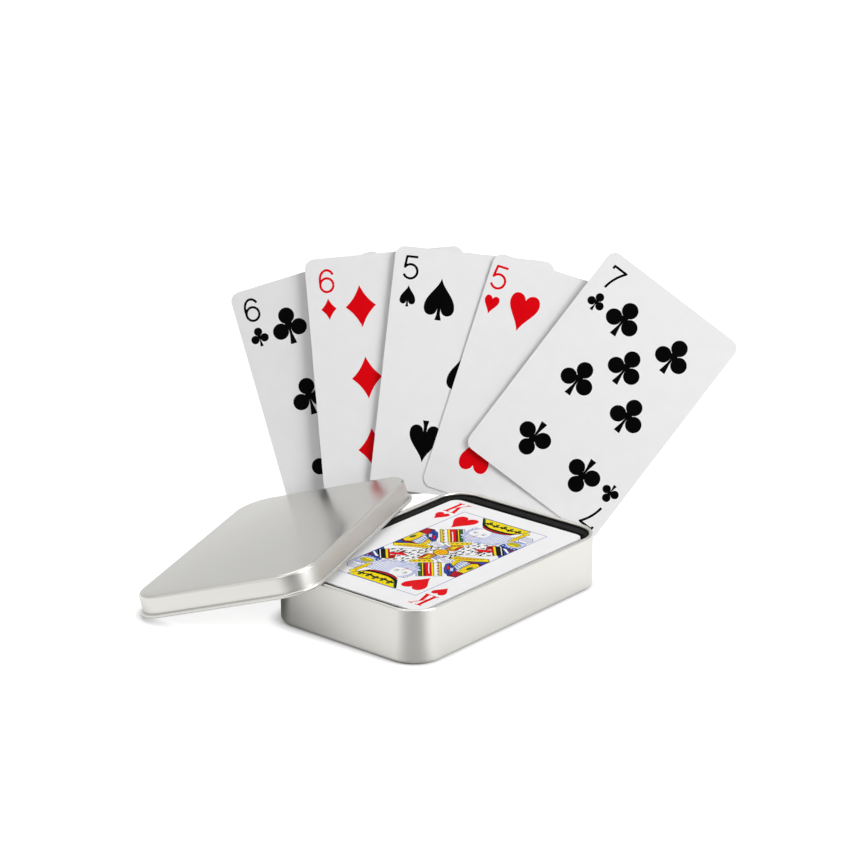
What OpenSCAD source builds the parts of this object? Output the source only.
// Deck of playing cards in a slip-lid tin.
// The tin stands open with the deck in its foam lining, the lid leans on
// one corner of it, and five cards stand behind it as a fan.
// Frame: origin at the centre of the tin's underside, X along the tin, +Z up.

/* [Cards] */
// Width of a card
card_w = 57; // [50:0.5:64]
// Length of a card
card_l = 87; // [80:0.5:95]
// Radius of a card's corners
card_r = 3.5; // [2:0.25:5]
// Thickness of a card
card_t = 0.28; // [0.24:0.01:0.34]
// Air between two cards that lie on each other
card_air = 0.02; // [0.01:0.01:0.05]
// Most that a card in the stack lies out of line
card_slip = 0.2; // [0:0.05:0.4]

/* [Tin] */
// Thickness of the tinplate
sheet_t = 0.3; // [0.2:0.05:0.5]
// Outer radius of the tin's upright corners
tin_r = 10.5; // [8:0.5:13]
// Outer radius where the wall turns into the bottom
bottom_r = 1.8; // [1:0.1:3]
// Radius of the rim, which is rolled inwards
rim_r = 0.7; // [0.45:0.05:0.9]
// Room between the top card and the top of the rim
head_gap = 1.6; // [1.2:0.1:3]

/* [Foam lining] */
// Thickness of the lining at the two short ends
foam_end_t = 4.1; // [2:0.1:6]
// Thickness of the lining along the two long sides
foam_side_t = 2.65; // [1.5:0.05:5]
// Thickness of the lining under the deck
foam_floor_t = 2.5; // [1:0.1:4]
// Clearance between the lining and the tin's wall and rim
foam_gap = 0.1; // [0.05:0.05:0.3]
// Clearance between the lining and the deck
pocket_gap = 1.2; // [0.8:0.1:2]
// How far the deck lies off the pocket's middle, along the tin
deck_shift = -0.5; // [-0.6:0.1:0.6]

/* [Lid] */
// Height of the lid, from its lower edge to its top face
lid_h = 7.7; // [6:0.1:12]
// Clearance between the lid's skirt and the tin's wall
lid_gap = 0.2; // [0.1:0.05:0.4]
// Outer radius where the skirt turns into the top
lid_edge_r = 1.2; // [0.8:0.1:2.5]
// Radius of the bead, which is rolled outwards
bead_r = 0.7; // [0.5:0.05:1]
// Place of the lid's middle along the tin
lid_x = -22; // [-26:0.5:-18]
// Place of the lid's middle across the tin
lid_y = 52.5; // [48:0.5:57]
// Turn of the lid about the vertical
lid_turn = 19.9; // [12:0.1:28]
// Gap left where the lid's bead crosses the tin's rim
rest_gap = 0.05; // [0.02:0.01:0.2]

/* [Fan] */
// Place along the tin of the middle of the fan's foot
fan_x = 51.1; // [46:0.1:70]
// Place across the tin of the middle of the fan's foot
fan_y = 40.5; // [37:0.1:60]
// Turn of the fan about the vertical
fan_turn = -53.7; // [-60:0.1:-48]
// How far the fan leans back from upright
fan_recline = 20.8; // [12:0.1:30]
// Gap left where a card of the fan touches the one behind it
fan_gap = 0.05; // [0.02:0.01:0.2]

/* [Hidden] */
$fn = 64;

SUITS = ["clubs", "diamonds", "spades", "hearts"];
RANKS = ["ace", "two", "three", "four", "five", "six", "seven",
         "eight", "nine", "ten", "jack", "queen", "king"];

// Fan, from the back card to the front one: name, lean to the left, place of
// its centre along the fan's foot, height of its lowest corner over the floor,
// and swing about its length, with the left edge towards the viewer
FAN = [
    ["six_of_clubs", 17.6, -39.6, 0, -5.5],
    ["six_of_diamonds", 6.5, -19.1, 10, -0.2],
    ["five_of_spades", -5, 5.4, 10.6, 2.2],
    ["five_of_hearts", -16.5, 31.4, 1.9, 2.3],
    ["seven_of_clubs", -36.1, 55.4, 0, 3.8],
];

function in_fan(name) = len([for (row = FAN) if (row[0] == name) name]) > 0;

// Stack in the tin, from the bottom card to the top one
STACK = concat(
    ["first_joker", "second_joker"],
    [for (suit = SUITS) for (rank = RANKS)
        let (name = str(rank, "_of_", suit))
        if (!in_fan(name)) name]
);

// Size of the lining's pocket and of the tin, from the card outwards
pocket_l = card_l + 2 * pocket_gap;
pocket_w = card_w + 2 * pocket_gap;
pocket_r = card_r + pocket_gap;
foam_l = pocket_l + 2 * foam_end_t;
foam_w = pocket_w + 2 * foam_side_t;
tin_l = foam_l + 2 * (foam_gap + sheet_t);
tin_w = foam_w + 2 * (foam_gap + sheet_t);

// Heights, from the tin's underside upwards
card_pitch = card_t + card_air;
deck_z = sheet_t + foam_floor_t;
deck_top = deck_z + len(STACK) * card_pitch;
tin_h = deck_top + head_gap;

// The lid slips over the tin
lid_l = tin_l + 2 * (lid_gap + sheet_t);
lid_w = tin_w + 2 * (lid_gap + sheet_t);
lid_r = tin_r + lid_gap + sheet_t;
// The bead's inner side is flush with the skirt's inner side
bead_d = bead_r - sheet_t;
// One long bead lies on the floor and the other on the tin's rim
lid_rise = tin_h + rest_gap;
lid_tilt = asin(lid_rise / (lid_w + 2 * bead_d));

steel = "#c9c9c4";
foam_black = "#1b1b1b";
card_white = "#ececee";

// Flat rounded rectangle, centred
module rounded(l, w, r) {
    square([l, w - 2 * r], center = true);
    square([l - 2 * r, w], center = true);
    for (x = [-1, 1], y = [-1, 1])
        translate([x * (l / 2 - r), y * (w / 2 - r)]) circle(r);
}

module plate(l, w, r, t) {
    linear_extrude(height = t) rounded(l, w, r);
}

// Sweeps a profile round a rounded rectangle. In the profile, x is the
// distance from the centre of the corner's arc and y is the height.
module sweep(l, w, r) {
    for (turn = [0, 90, 180, 270]) {
        long_side = turn == 90 || turn == 270;
        run = long_side ? l - 2 * r : w - 2 * r;
        reach = long_side ? w / 2 - r : l / 2 - r;
        rotate([0, 0, turn]) {
            translate([reach, 0, 0])
                rotate([90, 0, 0])
                    linear_extrude(height = run, center = true) children();
            translate([reach, run / 2, 0])
                rotate_extrude(angle = 90) children();
        }
    }
}

// Quarter of a bent sheet, from straight down (y = 0) to level (x = 0)
module bent_sheet(r) {
    intersection() {
        difference() {
            circle(r);
            circle(r - sheet_t);
        }
        square(r);
    }
}

module tin_profile() {
    translate([tin_r - bottom_r, bottom_r]) mirror([0, 1]) bent_sheet(bottom_r);
    translate([tin_r - sheet_t, bottom_r]) square([sheet_t, tin_h - rim_r - bottom_r]);
    translate([tin_r - rim_r, tin_h - rim_r]) circle(rim_r);
}

module tin_base() {
    color(steel) {
        sweep(tin_l, tin_w, tin_r) tin_profile();
        plate(tin_l - 2 * bottom_r, tin_w - 2 * bottom_r, tin_r - bottom_r, sheet_t);
    }
}

// The lining stands clear of the bend round the tin's bottom and ends under its rim
module foam_insert() {
    foam_r = tin_r - sheet_t - foam_gap;
    foam_h = tin_h - 2 * rim_r - foam_gap - sheet_t;
    foot_in = bottom_r - sheet_t;
    color(foam_black)
        translate([0, 0, sheet_t])
            difference() {
                union() {
                    plate(foam_l - 2 * foot_in, foam_w - 2 * foot_in, foam_r - foot_in, foam_h);
                    translate([0, 0, foot_in]) plate(foam_l, foam_w, foam_r, foam_h - foot_in);
                }
                translate([0, 0, foam_floor_t])
                    plate(pocket_l, pocket_w, pocket_r, foam_h);
            }
}

module lid_profile() {
    translate([lid_r + bead_d, bead_r]) circle(bead_r);
    translate([lid_r - sheet_t, bead_r]) square([sheet_t, lid_h - lid_edge_r - bead_r]);
    translate([lid_r - lid_edge_r, lid_h - lid_edge_r]) bent_sheet(lid_edge_r);
}

// The lid as it is made: lower edge at z = 0, opening downwards
module lid_shell() {
    sweep(lid_l, lid_w, lid_r) lid_profile();
    translate([0, 0, lid_h - sheet_t])
        plate(lid_l - 2 * lid_edge_r, lid_w - 2 * lid_edge_r, lid_r - lid_edge_r, sheet_t);
}

module tin_lid() {
    color(steel)
        translate([lid_x, lid_y, bead_r + lid_rise / 2])
            rotate([-lid_tilt, 0, lid_turn])
                translate([0, 0, -bead_r]) lid_shell();
}

// A card lying face up: X is its width, Y its length
module card() {
    color(card_white) plate(card_w, card_l, card_r, card_t);
}

// A card of the stack, counted from the bottom; its top edge is towards +X
module stacked_card(i) {
    shift = i == len(STACK) - 1 ? [0, 0] : card_slip * [sin(137 * i), cos(101 * i)];
    translate([deck_shift + shift[0], shift[1], deck_z + card_air + i * card_pitch])
        rotate([0, 0, -90]) card();
}

// Directions of a fan card's width, length and face, in the fan's own frame
function fan_axes(i) =
    let (lean = FAN[i][1], swing = FAN[i][4])
    [
        [cos(lean) * cos(swing), sin(lean) * cos(swing), -sin(swing)],
        [-sin(lean), cos(lean), 0],
        [cos(lean) * sin(swing), sin(lean) * sin(swing), cos(swing)],
    ];

// How far a fan card reaches from the centre of its back in one direction
function fan_reach(i, way) =
    let (part = fan_axes(i) * way)
    (card_w / 2 - card_r) * abs(part[0]) + (card_l / 2 - card_r) * abs(part[1])
        + card_r * norm([part[0], part[1]]) + card_t * max(0, part[2]);

// Centre of a fan card's back: its lowest corner is at the height that is set,
// and the corners of the card behind it just clear it
function fan_centre(i) =
    let (
        face = fan_axes(i)[2],
        floor_way = [0, -cos(fan_recline), -sin(fan_recline)],
        up = (FAN[i][3] + fan_reach(i, floor_way)) / cos(fan_recline),
        depth = i == 0 ? 0 :
            (fan_centre(i - 1) * face + fan_reach(i - 1, face) + fan_gap
                - FAN[i][2] * face[0] - up * face[1])
            / (face[2] - tan(fan_recline) * face[1])
    )
    [FAN[i][2], up - depth * tan(fan_recline), depth];

// A card of the fan, counted from the back
module fan_card(i) {
    translate([fan_x, fan_y, 0])
        rotate([90 - fan_recline, 0, fan_turn])
            translate(fan_centre(i))
                rotate([0, 0, FAN[i][1]]) rotate([0, FAN[i][4], 0]) card();
}

tin_base();
foam_insert();
tin_lid();
for (i = [0:len(STACK) - 1])
    stacked_card(i);
for (i = [0:len(FAN) - 1])
    fan_card(i);
